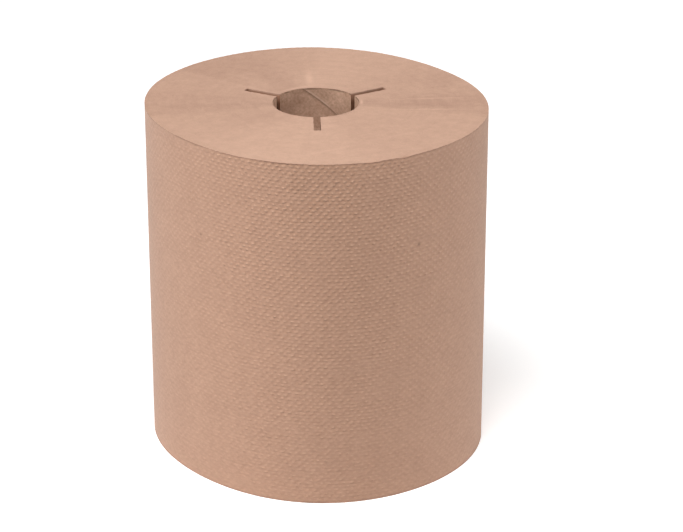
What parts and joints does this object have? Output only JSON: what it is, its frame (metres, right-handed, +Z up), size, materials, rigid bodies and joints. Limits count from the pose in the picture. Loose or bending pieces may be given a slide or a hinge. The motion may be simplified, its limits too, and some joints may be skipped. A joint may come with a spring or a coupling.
{
  "type": "paper towel roll",
  "caption": "Hard-wound natural-brown paper towel roll on a paperboard core, with radial drive notches in its top end, standing on its plain end.",
  "frame": {"origin": "middle of the bottom end, where the roll stands", "axes": "+Z up along the core to the notched end, -Y towards the notch at the front"},
  "size_m": [0.1939, 0.1959, 0.203],
  "materials": {
    "core_board": "matte grey-brown paperboard, wound in a spiral",
    "towel_paper": "matte natural-brown paper, embossed with staggered dots on the side and sawn smooth on the ends"
  },
  "bodies": {
    "root": {"core": "core_board", "wound_towel": "towel_paper"}
  },
  "joints": []
}
